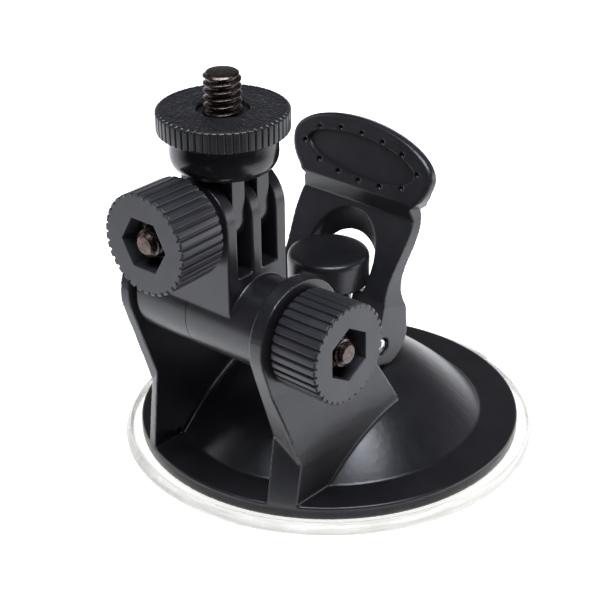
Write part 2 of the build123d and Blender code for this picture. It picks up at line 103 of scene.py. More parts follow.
PADDLE_THICK = 2.3
PADDLE_RIM = 0.9         # width of the rolled rim
RECESS_HALF_WIDTH = 12.5
RECESS_HALF_HEIGHT = 3.7
RECESS_DEPTH = 0.75
PIT_COUNT = 12
PIT_HALF_WIDTH = 13.2
PIT_HALF_HEIGHT = 4.2
PIT_SHIFT = 0.16         # how far the row of pits is turned from the oval's end, in pit steps
PIT_RADIUS = 0.52
PIT_DEPTH = 0.7
VINYL_RIM_R = 38.3       # radius of the cup
STREAK_SIZE = 1.1
STREAK_STRETCH = (0.12, 1.4, 2.0)       # noise scale around the rim, outwards and upwards
BARREL_SEAM_X = -3.0
SEAM_WIDTH = 0.14
SEAM_DEPTH = 0.10
WELD = 0.002             # CAD points closer than this are one point
SHARP_ANGLE = math.radians(42)          # steeper edges of a cut stay sharp


def span(node):
    """Lowest and highest corner of a CAD node, in millimetres."""
    low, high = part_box(node)
    return np.array(low) / MM, np.array(high) / MM


def smooth_step(value, start, end):
    """0 before start, 1 after end, smooth between."""
    t = np.clip((value - start) / (end - start), 0, 1)
    return t * t * (3 - 2 * t)


# ==== meshes ========================================================================
def linked(name, data):
    """New object in the scene."""
    item = bpy.data.objects.new(name, data)
    bpy.context.scene.collection.objects.link(item)
    return item


def with_modifiers(piece):
    """New mesh of a piece as its modifiers leave it."""
    bpy.context.view_layer.update()
    return bpy.data.meshes.new_from_object(piece.evaluated_get(bpy.context.evaluated_depsgraph_get()))


def mesh_piece(name, points, faces):
    """Smooth-shaded object from millimetre points, with its normals facing out."""
    mesh = bpy.data.meshes.new(name)
    mesh.from_pydata((np.asarray(points, float) * MM).tolist(), [], faces)
    piece = linked(name, mesh)
    work = bmesh.new()
    work.from_mesh(mesh)
    bmesh.ops.recalc_face_normals(work, faces=work.faces)
    work.to_mesh(mesh)
    work.free()
    mesh.shade_smooth()
    return piece


def mesh_from_rings(name, rings, closed):
    """Rings of equally many points joined by quads: a loop if closed, else capped at both ends."""
    count = len(rings[0])
    points = list(np.concatenate(rings))
    faces = []
    joins = len(rings) if closed else len(rings) - 1
    for a in range(joins):
        b = (a + 1) % len(rings)
        for i in range(count):
            j = (i + 1) % count
            faces.append((a * count + i, a * count + j, b * count + j, b * count + i))
    if not closed:
        for ring in (0, len(rings) - 1):
            points.append(rings[ring].mean(axis=0))
            centre = len(points) - 1
            faces += [(ring * count + i, ring * count + (i + 1) % count, centre) for i in range(count)]
    return mesh_piece(name, points, faces)


def rounded(outline, closed):
    """(r, z, shape) points of an outline of (r, z, rounding, shape) corners."""
    result = []
    last = len(outline) - 1
    for i, (r, z, rounding, shape) in enumerate(outline):
        if rounding == 0 or (not closed and i in (0, last)):
            result.append((r, z, shape))
            continue
        here = Vector((r, z))
        before = Vector(outline[i - 1][:2]) - here
        after = Vector(outline[(i + 1) % len(outline)][:2]) - here
        reach = min(rounding, 0.48 * before.length, 0.48 * after.length)
        start = here + before.normalized() * reach
        end = here + after.normalized() * reach
        for step in range(ROUND_STEPS + 1):
            t = step / ROUND_STEPS
            point = start * (1 - t) ** 2 + here * 2 * t * (1 - t) + end * t ** 2
            result.append((point.x, point.y, shape))
    return result


def turned(name, outline, place, segments=128, closed=True):
    """Turned piece. place is (origin, axis, direction of angle 0); each outline point has its
    own shape, a function that gives the radius at every angle."""
    origin, axis, zero = (Vector(v) for v in place)
    side = axis.cross(zero)
    angles = np.arange(segments) * TURN / segments
    rings = []
    for r, z, shape in rounded(outline, closed):
        radius = shape(r, z, angles)
        ring = np.outer(radius * np.cos(angles), zero) + np.outer(radius * np.sin(angles), side)
        rings.append(ring + np.array(origin) + z * np.array(axis))
    return mesh_from_rings(name, rings, closed)


# Each section below gives its radius at every angle, from an outline point's r and z.
def circle(r, z, angles):
    """Plain round section."""
    return np.full_like(angles, r)


def hexagon(r, z, angles):
    """Hexagonal section; r is half the distance across its flats, with a corner at angle 0."""
    return r / np.cos(angles % (TURN / 6) - TURN / 12)


def hexagon_within(flats):
    """Hexagonal section whose corners are cut back to the radius r."""
    def shape(r, z, angles):
        return np.minimum(hexagon(flats / 2, z, angles), r)
    return shape


def ribs(count, depth, share):
    """Round section with grooves; share is how much of the pitch a groove takes."""
    def shape(r, z, angles):
        from_groove = np.abs((angles * count / TURN + 0.5) % 1 - 0.5) * 2
        return r - depth * (1 - smooth_step(from_groove, share * GROOVE_FLOOR, share * GROOVE_LIP))
    return shape


def oval(half_width, half_height):
    """Oval section; r is how far it lies inside the full oval."""
    def shape(r, z, angles):
        wide, tall = half_width - r, half_height - r
        return wide * tall / np.hypot(tall * np.cos(angles), wide * np.sin(angles))
    return shape


def thread(pitch, depth, end, chamfer):
    """Helical thread with flat crests, cut back by a chamfer towards its end."""
    def shape(r, z, angles):
        from_crest = np.abs((z / pitch - angles / TURN) % 1 - 0.5) * 2
        crest = 1 - np.clip((from_crest - CREST_FLAT) / THREAD_FLANK, 0, 1)
        return np.minimum(r - depth * (1 - crest), r - chamfer + abs(end - z))
    return shape


def thread_rows(radius, start, end, pitch, shape):
    """Outline points that follow a thread closely."""
    rows = int(abs(end - start) / pitch * THREAD_ROWS)
    return [(radius, start + (end - start) * i / rows, 0, shape) for i in range(rows + 1)]


def moulded(name, node, voxel, passes):
    """Copy of a CAD node with softly rounded moulded edges: remeshed in even quads, then relaxed."""
    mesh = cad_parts[node].data.copy()
    mesh.materials.clear()
    work = bmesh.new()
    work.from_mesh(mesh)
    bmesh.ops.remove_doubles(work, verts=work.verts, dist=WELD * MM)
    work.to_mesh(mesh)
    work.free()
    rough = linked(name + "_rough", mesh)
    remesh = rough.modifiers.new("remesh", "REMESH")
    remesh.mode = "VOXEL"
    remesh.voxel_size = voxel * MM
    relax = rough.modifiers.new("relax", "SMOOTH")
    relax.factor = 0.5
    relax.iterations = passes
    done = with_modifiers(rough)
    bpy.data.objects.remove(rough)
    piece = linked(name, done)
    done.name = name
    done.shade_smooth()
    return piece


def cut(piece, tools):
    """Cuts tool pieces out of a piece, leaving crisp edges."""
    work = bmesh.new()
    for tool in tools:
        work.from_mesh(tool.data)
        bpy.data.objects.remove(tool)
    mesh = bpy.data.meshes.new("cutter")
    work.to_mesh(mesh)
    work.free()
    cutter = linked("cutter", mesh)
    modifier = piece.modifiers.new("cut", "BOOLEAN")
    modifier.operation = "DIFFERENCE"
    modifier.solver = "MANIFOLD"
    modifier.object = cutter
    done = with_modifiers(piece)
    piece.modifiers.clear()
    piece.data = done
    bpy.data.objects.remove(cutter)
    done.shade_smooth()
    done.set_sharp_from_angle(angle=SHARP_ANGLE)


def coordinates(piece):
    """The piece's points in millimetres."""
    flat = np.zeros(len(piece.data.vertices) * 3, np.float32)
    piece.data.vertices.foreach_get("co", flat)
    return flat.reshape(-1, 3).astype(float) / MM


def set_coordinates(piece, points):
    """Moves the piece's points; they are in millimetres."""
    piece.data.vertices.foreach_set("co", (points * MM).astype(np.float32).ravel())
    piece.data.update()


def dress(piece, node, body, material):
    """Finishes a piece: material, the CAD node it stands for and the body it rides on, or no body for a
    piece that is left unattached."""
    piece.data.materials.clear()
    piece.data.materials.append(material)
    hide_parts(node)
    if body:
        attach(piece, body)


# ==== materials =====================================================================
class Nodes:
    """Short way to add and join the shader nodes of a tree."""

    def __init__(self, tree):
        self.tree = tree

    def add(self, kind, **settings):
        node = self.tree.nodes.new(kind)
        for key, value in settings.items():
            if key in node.inputs:
                node.inputs[key].default_value = value
            else:
                setattr(node, key, value)
        return node

    def join(self, output, node, name):
        self.tree.links.new(output, node.inputs[name])

    def mapped(self, value, low, high, start=0.35, end=0.65):
        """low where value is start or less, high where it is end or more, even between."""
        node = self.add("ShaderNodeMapRange")
        self.join(value, node, "Value")
        for name, number in (("From Min", start), ("From Max", end), ("To Min", low), ("To Max", high)):
            node.inputs[name].default_value = number
        return node.outputs["Result"]

    def blend(self, share, dark, light):
        """Colour between dark and light."""
        node = self.add("ShaderNodeMix", data_type="RGBA")
        self.tree.links.new(share, node.inputs[0])
        node.inputs[6].default_value = (*dark, 1)
        node.inputs[7].default_value = (*light, 1)
        return node.outputs[2]

    def math(self, operation, a, b=0.0):
        """Result of a math node; a and b are outputs or numbers."""
        node = self.add("ShaderNodeMath", operation=operation)
        for slot, value in enumerate((a, b)):
            if isinstance(value, (int, float)):
                node.inputs[slot].default_value = value
            else:
                self.tree.links.new(value, node.inputs[slot])
        return node.outputs[0]

    def parts(self, vector):
        """X, Y and Z outputs of a vector."""
        node = self.add("ShaderNodeSeparateXYZ")
        self.tree.links.new(vector, node.inputs[0])
        return node.outputs

    def length(self, x, y):
        """Length of the vector x, y."""
        squares = self.math("ADD", self.math("MULTIPLY", x, x), self.math("MULTIPLY", y, y))
        return self.math("SQRT", squares)

    def combined(self, values):
        """Vector with the given X, Y and Z outputs."""
        node = self.add("ShaderNodeCombineXYZ")
        for slot, value in enumerate(values):
            self.tree.links.new(value, node.inputs[slot])
        return node.outputs[0]

    def mix(self, share, first, second):
        """Node that shows the second shader by the given share, and the first for the rest."""
        node = self.add("ShaderNodeMixShader")
        for slot, value in enumerate((share, first.outputs[0], second.outputs[0])):
            self.tree.links.new(value, node.inputs[slot])
        return node


class MaterialNodes(Nodes):
    """Nodes of a new material, from its Principled shader on."""

    def __init__(self, name):
        self.material = bpy.data.materials.new(name)
        self.material.use_nodes = True
        super().__init__(self.material.node_tree)
        self.shader = self.tree.nodes["Principled BSDF"]
        self.place = self.add("ShaderNodeTexCoord").outputs["Object"]

    def noise(self, size, detail=3.0, roughness=0.55):
        """Noise whose features are about size millimetres across."""
        node = self.add("ShaderNodeTexNoise", Scale=1 / (size * MM), Detail=detail)
        node.inputs["Roughness"].default_value = roughness
        self.join(self.place, node, "Vector")
        return node.outputs["Fac"]

    def show(self, shader):
        """Makes a shader the surface in place of the plain Principled one."""
        self.join(shader.outputs[0], self.tree.nodes["Material Output"], "Surface")

    def bump(self, height, depth, under=None):
        """Bump depth millimetres deep, over an earlier bump if one is given."""
        node = self.add("ShaderNodeBump", Strength=1.0, Distance=depth * MM)
        self.join(height, node, "Height")
        if under:
            self.join(under, node, "Normal")
        return node.outputs["Normal"]


def plastic(name, dark, light, rough, texture, depth):
    """Moulded black plastic: spark-eroded texture, uneven gloss, and sharp convex edges lightened as a
    painted edge highlight. texture is the grain's size and depth its depth, in millimetres."""
    n = MaterialNodes(name)
    colour_patch, gloss_patch = 6.0, 2.2
    # lighter colour on sharp convex edges: a painted edge highlight
    painted_edge_highlight = n.mapped(n.add("ShaderNodeNewGeometry").outputs["Pointiness"], 0, 0.5, 0.54, 0.62)
    share = n.math("MAXIMUM", n.mapped(n.noise(colour_patch), 0, 1), painted_edge_highlight)
    n.join(n.blend(share, dark, light), n.shader, "Base Color")
    n.join(n.mapped(n.noise(gloss_patch), rough - 0.015, rough + 0.02), n.shader, "Roughness")
    coarse = n.bump(n.noise(texture * 5, 2.0), depth * 1.5)
    n.join(n.bump(n.noise(texture, 4.0), depth, coarse), n.shader, "Normal")
    n.shader.inputs["Specular Tint"].default_value = (0.95, 0.95, 1.0, 1)
    return n.material


def steel(name, dark, light, rough):
    """Plated steel with fine turning marks and stains."""
    n = MaterialNodes(name)
    stain, smear, mark, mark_depth = 0.7, 0.35, 0.12, 0.012
    n.join(n.blend(n.mapped(n.noise(stain), 0, 1), dark, light), n.shader, "Base Color")
    n.join(n.mapped(n.noise(smear), rough - 0.08, rough + 0.12), n.shader, "Roughness")
    n.join(n.bump(n.noise(mark), mark_depth), n.shader, "Normal")
    n.shader.inputs["Metallic"].default_value = 1.0
    return n.material


def soft_vinyl(name):
    """Milky soft vinyl: see-through under the flange, beige with moulded streaks at the thick rim."""
    n = MaterialNodes(name)
    x, y, z = n.parts(n.place)
    spread = n.length(x, y)
    round_rim, outwards, upwards = STREAK_STRETCH
    streak = n.add("ShaderNodeTexNoise", Scale=1 / (STREAK_SIZE * MM), Detail=4.0)
    stretched = n.combined((n.math("MULTIPLY", n.math("ARCTAN2", y, x), VINYL_RIM_R * MM * round_rim),
                            n.math("MULTIPLY", spread, outwards), n.math("MULTIPLY", z, upwards)))
    n.join(stretched, streak, "Vector")
    streaks = n.mapped(streak.outputs["Fac"], 0, 1, 0.38, 0.66)
    n.join(n.blend(streaks, (0.50, 0.48, 0.44), (0.68, 0.67, 0.64)), n.shader, "Base Color")
    n.join(n.mapped(n.noise(1.6), 0.12, 0.30), n.shader, "Roughness")
    n.join(n.bump(n.noise(2.4, 2.0), 0.05), n.shader, "Normal")
    # how milky the vinyl is: everywhere, more on the disc, far more at the rim, less in streaks
    everywhere, disc, rim, in_streaks = 0.03, 0.06, 0.80, -0.12
    at_rim = n.mapped(spread, 0, 1, (VINYL_RIM_R - 1.7) * MM, (VINYL_RIM_R - 0.9) * MM)
    off_tab = n.mapped(spread, 1, 0, (VINYL_RIM_R + 0.3) * MM, (VINYL_RIM_R + 0.8) * MM)
    milk = n.math("ADD", disc, n.math("MULTIPLY", at_rim, rim))
    milk = n.math("ADD", milk, n.math("MULTIPLY", streaks, n.math("MULTIPLY", at_rim, in_streaks)))
    milk = n.math("ADD", everywhere, n.math("MULTIPLY", milk, off_tab))
    clear = n.add("ShaderNodeBsdfTransparent")
    clear.inputs[0].default_value = (0.97, 0.965, 0.95, 1)
    shadow = n.add("ShaderNodeLightPath").outputs["Is Shadow Ray"]
    share = n.math("MULTIPLY", milk, n.math("SUBTRACT", 1.0, shadow))
    n.show(n.mix(share, clear, n.shader))
    return n.material


BLACK = plastic("satin_black", (0.0085, 0.0085, 0.0100), (0.0120, 0.0120, 0.0140),
                rough=0.29, texture=0.16, depth=0.008)
LEVER_BLACK = plastic("lever_black", (0.0085, 0.0085, 0.0100), (0.0125, 0.0125, 0.0145),
                      rough=0.31, texture=0.20, depth=0.010)
KNOB_BLACK = plastic("knob_black", (0.0150, 0.0150, 0.0185), (0.0215, 0.0215, 0.0260),
                     rough=0.40, texture=0.14, depth=0.006)
RING_BLACK = plastic("ring_black", (0.0090, 0.0090, 0.0100), (0.0140, 0.0140, 0.0155),
                     rough=0.34, texture=0.18, depth=0.008)
GLOSS_BLACK = plastic("gloss_black", (0.0060, 0.0060, 0.0070), (0.0085, 0.0085, 0.0095),
                      rough=0.16, texture=0.60, depth=0.006)
WASHER_GREY = plastic("washer_nylon", (0.0300, 0.0300, 0.0300), (0.0500, 0.0500, 0.0500),
                      rough=0.50, texture=0.20, depth=0.008)
DARK_STEEL = steel("dark_steel", (0.060, 0.047, 0.043), (0.120, 0.094, 0.085), rough=0.27)
BRIGHT_STEEL = steel("bright_steel", (0.45, 0.44, 0.43), (0.70, 0.69, 0.66), rough=0.22)
VINYL = soft_vinyl("clear_vinyl")


# ==== base ==========================================================================
def make_housing():
    """Flange, dome, plunger guide and cheeks in one moulding."""
    shell = moulded("housing_shell", "base_housing", voxel=0.22, passes=4)
    dress(shell, "base_housing", "base", BLACK)


def make_cup():
    """Clear disc with a raised rim and a pull tab."""
    low, high = span("suction_cup")
    radius = min(high[0], -low[0])
    rim_top = high[2]
    tab_half, tab_top = 9.5, 1.1
    tab_squareness = 24      # higher makes the tab's corners sharper
    sole = 0.3               # hollow under the disc
    sole_r, foot_r = 33.0, 35.5
    under_flange = 1.15

    def with_tab(r, z, angles):
        across = tab_half / np.maximum(np.abs(np.cos(angles)), 1e-6)
        along = high[1] / np.maximum(np.sin(angles), 1e-6)
        power = tab_squareness
        corner = (across ** -power + along ** -power) ** (-1 / power)
        reach = np.where(np.sin(angles) > 0, corner, 0)
        return np.maximum(r, reach)

    outline = [
        (0.2, sole, 0, circle), (sole_r, sole, 0.8, circle), (foot_r, 0.0, 0.5, circle),
        (radius, 0.0, 0, with_tab), (radius, 0.35, 0, with_tab), (radius - 0.45, tab_top, 0, with_tab),
        (radius - 0.5, tab_top + 0.1, 0, circle), (radius - 0.95, rim_top, 0.25, circle),
        (radius - 1.5, rim_top, 0.25, circle), (radius - 2.3, under_flange, 0.2, circle),
        (0.2, under_flange, 0, circle),
    ]
    piece = turned("cup_disc", outline, ((0, 0, 0), Z_AXIS, X_AXIS), 720, closed=False)
    dress(piece, "suction_cup", None, VINYL)
    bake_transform(piece)
    spread = np.hypot(*coordinates(piece)[:, :2].T)


def make_plunger():
    """Stem, mushroom cap and cross pin."""
    stem = moulded("stem", "plunger_stem", voxel=0.2, passes=4)
    dress(stem, "plunger_stem", "plunger", BLACK)
    low, high = span("plunger_cap")
    radius = high[0]
    spigot_r, spigot_end = 2.45, low[2] + 3.1
    outline = [
        (0.1, spigot_end, 0, circle), (spigot_r, spigot_end, 0, circle), (spigot_r, low[2], 0.1, circle),
        (radius - 0.05, low[2], 0.5, circle), (radius, high[2], 1.7, circle),
        (radius * 0.6, high[2], 0.3, circle), (0.1, high[2], 0, circle),
    ]
    cap = turned("cap", outline, ((0, 0, 0), Z_AXIS, X_AXIS), 160, closed=False)
    dress(cap, "plunger_cap", "plunger", LEVER_BLACK)
    low, high = span("cross_pin")
    radius = (high[2] - low[2]) / 2
    end_r, chamfer = radius * 0.72, 0.35
    outline = [
        (end_r, low[0], 0, circle), (radius, low[0] + chamfer, 0.15, circle),
        (radius, high[0] - chamfer, 0.15, circle), (end_r, high[0], 0, circle),
    ]
    place = ((0, 0, (low[2] + high[2]) / 2), X_AXIS, Y_AXIS)
    pin = turned("pin", outline, place, 64, closed=False)
    dress(pin, "cross_pin", "plunger", BRIGHT_STEEL)


def even_angles(count, half_width, half_height, shift):
    """Angles of points spaced evenly along an oval, starting near its left end."""
    turns = np.linspace(0, TURN, 721)
    x, y = half_width * np.cos(turns), half_height * np.sin(turns)
    walked = np.concatenate([[0], np.cumsum(np.hypot(np.diff(x), np.diff(y)))])
    marks = walked[-1] * (np.arange(count) + shift) / count
    return math.pi + np.interp(marks, walked, turns)


def make_lever():
    """Forked cam lever; its paddle gets a rolled rim, a crisp recess and round pits."""
    piece = moulded("lever", "cam_lever", voxel=0.17, passes=7)
    pin_low, pin_high = span("cross_pin")
    pivot = np.array([0, 0, (pin_low[2] + pin_high[2]) / 2])
    tilt = np.array(Matrix.Rotation(LEVER_LEAN, 3, "X"))
    x, y, height = ((coordinates(piece) - pivot) @ tilt.T).T

    # thin the paddle towards its outline, by how far each point lies inside the turned oval
    sine, cosine = math.sin(PADDLE_TURN), math.cos(PADDLE_TURN)
    turned_x = x * cosine - (height - PADDLE_HEIGHT) * sine
    turned_up = x * sine + (height - PADDLE_HEIGHT) * cosine
    half = np.where(turned_up > 0, PADDLE_UP, PADDLE_DOWN)
    across, up = turned_x / PADDLE_HALF_WIDTH, turned_up / half
    ring = np.hypot(across, up)
    slope = np.hypot(across / PADDLE_HALF_WIDTH, up / half) + 1e-9
    inside = (1 - ring) * ring / slope
    on_paddle = smooth_step(height, PADDLE_HEIGHT - 5.6, PADDLE_HEIGHT - 4.4)
    middle = PADDLE_FRONT + PADDLE_THICK / 2
    t = np.clip(1 - inside / PADDLE_RIM, 0, 1)
    rim_share = 0.62         # how much of the thickness the rim's rounding takes away
    drop = 1 - rim_share * (1 - np.sqrt(1 - t * t * 0.999))
    y = middle + (y - middle) * (1 - on_paddle * (1 - drop))
    set_coordinates(piece, np.stack([x, y, height], axis=1) @ tilt + pivot)

    # cut the recess and the pits from the paddle's face
    back, rise = (Vector(tilt.T @ np.array(axis)) for axis in (Y_AXIS, Z_AXIS))
    major = X_AXIS * cosine - rise * sine
    minor = X_AXIS * sine + rise * cosine
    face = Vector(pivot) + rise * PADDLE_HEIGHT + back * PADDLE_FRONT
    above = -3.0             # the tools start this far in front of the face
    dish = oval(RECESS_HALF_WIDTH, RECESS_HALF_HEIGHT)
    outline = [(0, above, 0, dish), (0, RECESS_DEPTH - 0.1, 0, dish), (0.1, RECESS_DEPTH, 0, dish)]
    outline += [(inset, RECESS_DEPTH, 0, dish) for inset in (0.13, 0.3)]
    tools = [turned("dish", outline, (face, back, major), 160, closed=False)]
    outline = [(PIT_RADIUS, above, 0, circle), (PIT_RADIUS, PIT_DEPTH - 0.15, 0, circle),
               (PIT_RADIUS - 0.2, PIT_DEPTH, 0, circle)]
    for angle in even_angles(PIT_COUNT, PIT_HALF_WIDTH, PIT_HALF_HEIGHT, PIT_SHIFT):
        spot = face + major * PIT_HALF_WIDTH * math.cos(angle)
        spot += minor * PIT_HALF_HEIGHT * math.sin(angle)
        tools.append(turned("pit", outline, (spot, back, X_AXIS), 20, closed=False))
    cut(piece, tools)
    dress(piece, "cam_lever", "lever", LEVER_BLACK)


# ==== arm and head ==================================================================
def make_arm():
    """Barrel and three fins in one moulding, with a fine seam round the barrel."""
    piece = moulded("arm", "tilt_arm", voxel=0.19, passes=3)
    bolt_low, bolt_high = span("barrel_bolt")
    centre = (BARREL_SEAM_X, (bolt_low[1] + bolt_high[1]) / 2, (bolt_low[2] + bolt_high[2]) / 2)
    barrel_r = centre[2] - span("tilt_arm")[0][2]
    inner, outer = barrel_r - SEAM_DEPTH, barrel_r + 0.1
    outline = [(inner, 0, 0, circle), (outer, 0, 0, circle),
               (outer, SEAM_WIDTH, 0, circle), (inner, SEAM_WIDTH, 0, circle)]
    cut(piece, [turned("seam", outline, (centre, X_AXIS, Z_AXIS), 160)])
    dress(piece, "tilt_arm", "arm", BLACK)


def make_head():
    """Glossy collar with two fins."""
    head = moulded("swivel_head", "tripod_head", voxel=0.16, passes=4)
    dress(head, "tripod_head", "head", GLOSS_BLACK)


def make_ring():
    """Ribbed locking ring with a grained top, and the bush inside it."""
    low, high = span("locking_ring")
    centre = ((low[0] + high[0]) / 2, (low[1] + high[1]) / 2, low[2])
    radius = max(high[0] - low[0], high[1] - low[1]) / 2
    tall = high[2] - low[2]
    bore = 4.5
    grooved = ribs(RING_RIBS, RING_GROOVE, 0.24)
    grain_rows = 44
    top = np.linspace(radius - 0.75, bore + 0.25, grain_rows)
    outline = [
        (bore, 0, 0.2, circle), (radius - 0.7, 0, 0.2, circle), (radius - 0.05, 0.25, 0.35, grooved),
        (radius, tall - 0.28, 0.4, grooved), (radius - 0.5, tall - 0.02, 0.2, grooved),
        *((r, tall, 0, circle) for r in top), (bore, tall - 0.1, 0.15, circle),
    ]
    piece = turned("ring", outline, (centre, Z_AXIS, X_AXIS), RING_RIBS * 14)
    points = coordinates(piece)
    spread = np.hypot(points[:, 0] - centre[0], points[:, 1] - centre[1])
    on_top = points[:, 2] > high[2] - 0.01
    grained = on_top & (spread < radius - 0.7) & (spread > bore + 0.2)
    grain_size, grain_depth, crease_width = 0.85, 0.17, 0.30
    for i in np.flatnonzero(grained):
        nearest, second = noise.voronoi(Vector(points[i]) / grain_size)[0][:2]
        crease = 1 - min(1.0, (second - nearest) / crease_width)
        points[i, 2] -= grain_depth * (0.6 * crease ** 0.7 + 0.4 * nearest)
    set_coordinates(piece, points)
    dress(piece, "locking_ring", "ring", RING_BLACK)
    low, high = span("ring_insert")
    outer = (high[0] - low[0]) / 2 - 0.02
    inner, chamfer = 2.95, 0.5
    rise = high[2] - low[2]
    outline = [
        (inner, 0, 0.1, circle), (outer, 0, 0.1, circle), (outer, rise, 0.2, circle),
        (inner + chamfer, rise, 0.1, circle), (inner, rise - chamfer, 0.1, circle),
    ]
    bush = turned("ring_bush", outline, ((centre[0], centre[1], low[2]), Z_AXIS, X_AXIS), 96)
    dress(bush, "ring_insert", "ring", RING_BLACK)


def make_stud():
    """Camera screw: hexagonal head moulded into the collar, then a coarse thread."""
    low, high = span("camera_stud")
    centre = ((low[0] + high[0]) / 2, (low[1] + high[1]) / 2, 0)
    radius, neck_r, head_r = 3.175, 2.6, 4.6
    end, end_r = high[2], radius - 0.66
    head_top = low[2] + 2.6
    thread_start = span("ring_insert")[1][2] - 1.0
    screw = thread(STUD_PITCH, STUD_DEPTH, end, chamfer=0.5)
    outline = [
        (head_r, low[2], 0, hexagon), (head_r, head_top, 0, hexagon), (neck_r, head_top, 0, circle),
        (neck_r, thread_start - 0.3, 0, circle),
        *thread_rows(radius, thread_start, end - 0.1, STUD_PITCH, screw),
        (radius - 0.52, end - 0.02, 0, circle), (end_r, end, 0, circle), (0.3, end, 0, circle),
    ]
    piece = turned("stud", outline, (centre, Z_AXIS, X_AXIS), 192, closed=False)
    dress(piece, "camera_stud", "head", DARK_STEEL)


# ==== knobs and fasteners ===========================================================
def lie_of(node, axis):
    """Start, length and radius of a round CAD node that lies along an axis."""
    low, high = span(node)
    along = abs(np.array(axis))
    length = float((high - low) @ along)
    radius = float(np.max((high - low) * (1 - along))) / 2
    return Vector((low + high) / 2) - Vector(axis) * length / 2, length, radius


def turned_corners(prism):
    """Outline points from the end of a hexagon to where its corners reach full width."""
    flat, corner = M5_FLATS / 2 * 0.94, M5_FLATS / math.sqrt(3)
    steps, rise = 5, 0.06
    return [(flat + (corner - flat) * i / steps, rise * i, 0, prism) for i in range(steps + 1)]


def make_knob(name, node, axis, zero, body):
    """Ribbed knob with a hexagonal pocket in its flat face."""
    back, length, radius = lie_of(node, axis)
    bore = 2.7
    grooved = ribs(KNOB_RIBS, KNOB_GROOVE, 0.34)
    pocket = POCKET_FLATS / 2
    outline = [
        (bore, 0, 0.1, circle), (radius - 1.1, 0, 0.2, circle), (radius - 0.15, 0.35, 0.4, grooved),
        (radius, length - 0.22, 0.1, grooved), (radius - 0.26, length, 0.06, grooved),
        (radius - 0.34, length, 0, grooved), (radius - 1.15, length, 0, circle),
        (pocket + 0.3, length, 0, hexagon), (pocket, length, 0.14, hexagon),
        (pocket - 0.1, KNOB_WEB, 0.1, hexagon), (bore, KNOB_WEB, 0.1, circle),
    ]
    piece = turned(name, outline, (back, axis, zero), KNOB_RIBS * 18)
    dress(piece, node, body, KNOB_BLACK)


def make_nut(name, node, axis, zero, body):
    """Hexagonal nut with turned-down corners and a countersunk bore."""
    back, thick = lie_of(node, axis)[:2]
    bore, countersink = 2.56, 3.05
    corners = turned_corners(hexagon_within(M5_FLATS))
    outline = [(bore, 0, 0, circle)] + corners
    outline += [(r, thick - z, 0, shape) for r, z, _, shape in reversed(corners)]
    outline += [(countersink, thick, 0.06, circle), (bore, thick - 0.5, 0.05, circle)]
    piece = turned(name, outline, (back, axis, zero), 120)
    dress(piece, node, body, DARK_STEEL)


def make_bolt(name, node, axis, zero, head_thick, body):
    """M5 bolt: hexagonal head, plain shank, rolled thread, chamfered end."""
    start, length = lie_of(node, axis)[:2]
    thread_start = length - 13.0
    screw = thread(M5_PITCH, M5_DEPTH, length, M5_END_CHAMFER)
    end_r = M5_CREST - M5_END_CHAMFER
    corners = turned_corners(hexagon_within(M5_FLATS - 0.02))
    outline = corners + [(corners[-1][0], head_thick, 0, corners[-1][3])]
    outline += [(M5_CREST, head_thick, 0, circle), (M5_CREST, thread_start - 0.3, 0, circle)]
    outline += thread_rows(M5_CREST, thread_start, length - 0.1, M5_PITCH, screw)
    outline += [(end_r, length - 0.02, 0, circle), (end_r - 0.12, length, 0, circle)]
    outline += [(0.3, length, 0, circle)]
    piece = turned(name, outline, (start, axis, zero), 144, closed=False)
    dress(piece, node, body, DARK_STEEL)


def make_washer(name, node, axis, zero, body, material):
    """Flat washer with stamped edges."""
    back, thick, radius = lie_of(node, axis)
    edge, bore = thick * 0.25, 2.65
    outline = [
        (bore, 0, edge, circle), (radius, 0, edge, circle),
        (radius, thick, edge, circle), (bore, thick, edge, circle),
    ]
    dress(turned(name, outline, (back, axis, zero), 96), node, body, material)


def make_fasteners():
    """Knobs, nuts, bolts and washers of both pivots."""
    make_knob("lower_knob_grip", "barrel_knob", X_AXIS, Z_AXIS, "lower_knob")
    make_nut("lower_nut", "barrel_knob_nut", X_AXIS, Z_AXIS, "lower_knob")
    make_bolt("lower_bolt", "barrel_bolt", X_AXIS, Z_AXIS, 2.95, "base")
    make_knob("upper_knob_grip", "head_knob", -Y_AXIS, X_AXIS, "upper_knob")
    make_nut("upper_nut", "head_knob_nut", -Y_AXIS, X_AXIS, "upper_knob")
    make_bolt("upper_bolt", "head_bolt", -Y_AXIS, X_AXIS, 3.0, "arm")
    make_washer("lower_washer", "cheek_washer", X_AXIS, Z_AXIS, "base", BRIGHT_STEEL)
    make_washer("upper_washer", "fin_washer", -Y_AXIS, X_AXIS, "arm", BRIGHT_STEEL)
    for side in ("right", "left"):
        make_washer("barrel_washer_" + side, "pivot_washer_" + side, X_AXIS, Z_AXIS, "base",
                    WASHER_GREY)


# ==== studio ========================================================================
def softbox(name, place, width, height, radiance, tint=(1, 1, 1)):
    """Rectangular light at place, facing the middle of the mount."""
    light = bpy.data.lights.new(name, "AREA")
    light.shape = "RECTANGLE"
    light.size, light.size_y = width * MM, height * MM
    light.energy = radiance * math.pi * light.size * light.size_y
    light.color = tint
    lamp = linked(name, light)
    lamp.location = Vector(place) * MM
    lamp.rotation_mode = "QUATERNION"
    lamp.rotation_quaternion = (Vector(LIGHT_AIM) - Vector(place)).to_track_quat("-Z", "Y")
    lamp.visible_camera = False


def toward_camera(n, x, y, length):
    """How far the horizontal vector x, y points to the camera: 1 straight at it, -1 away."""
    azimuth = math.radians(CAMERA_AZIMUTH)
    rightwards = n.math("MULTIPLY", x, math.sin(azimuth))
    along = n.math("SUBTRACT", rightwards, n.math("MULTIPLY", y, math.cos(azimuth)))
    return n.math("DIVIDE", along, n.math("MAXIMUM", length, 0.0001))


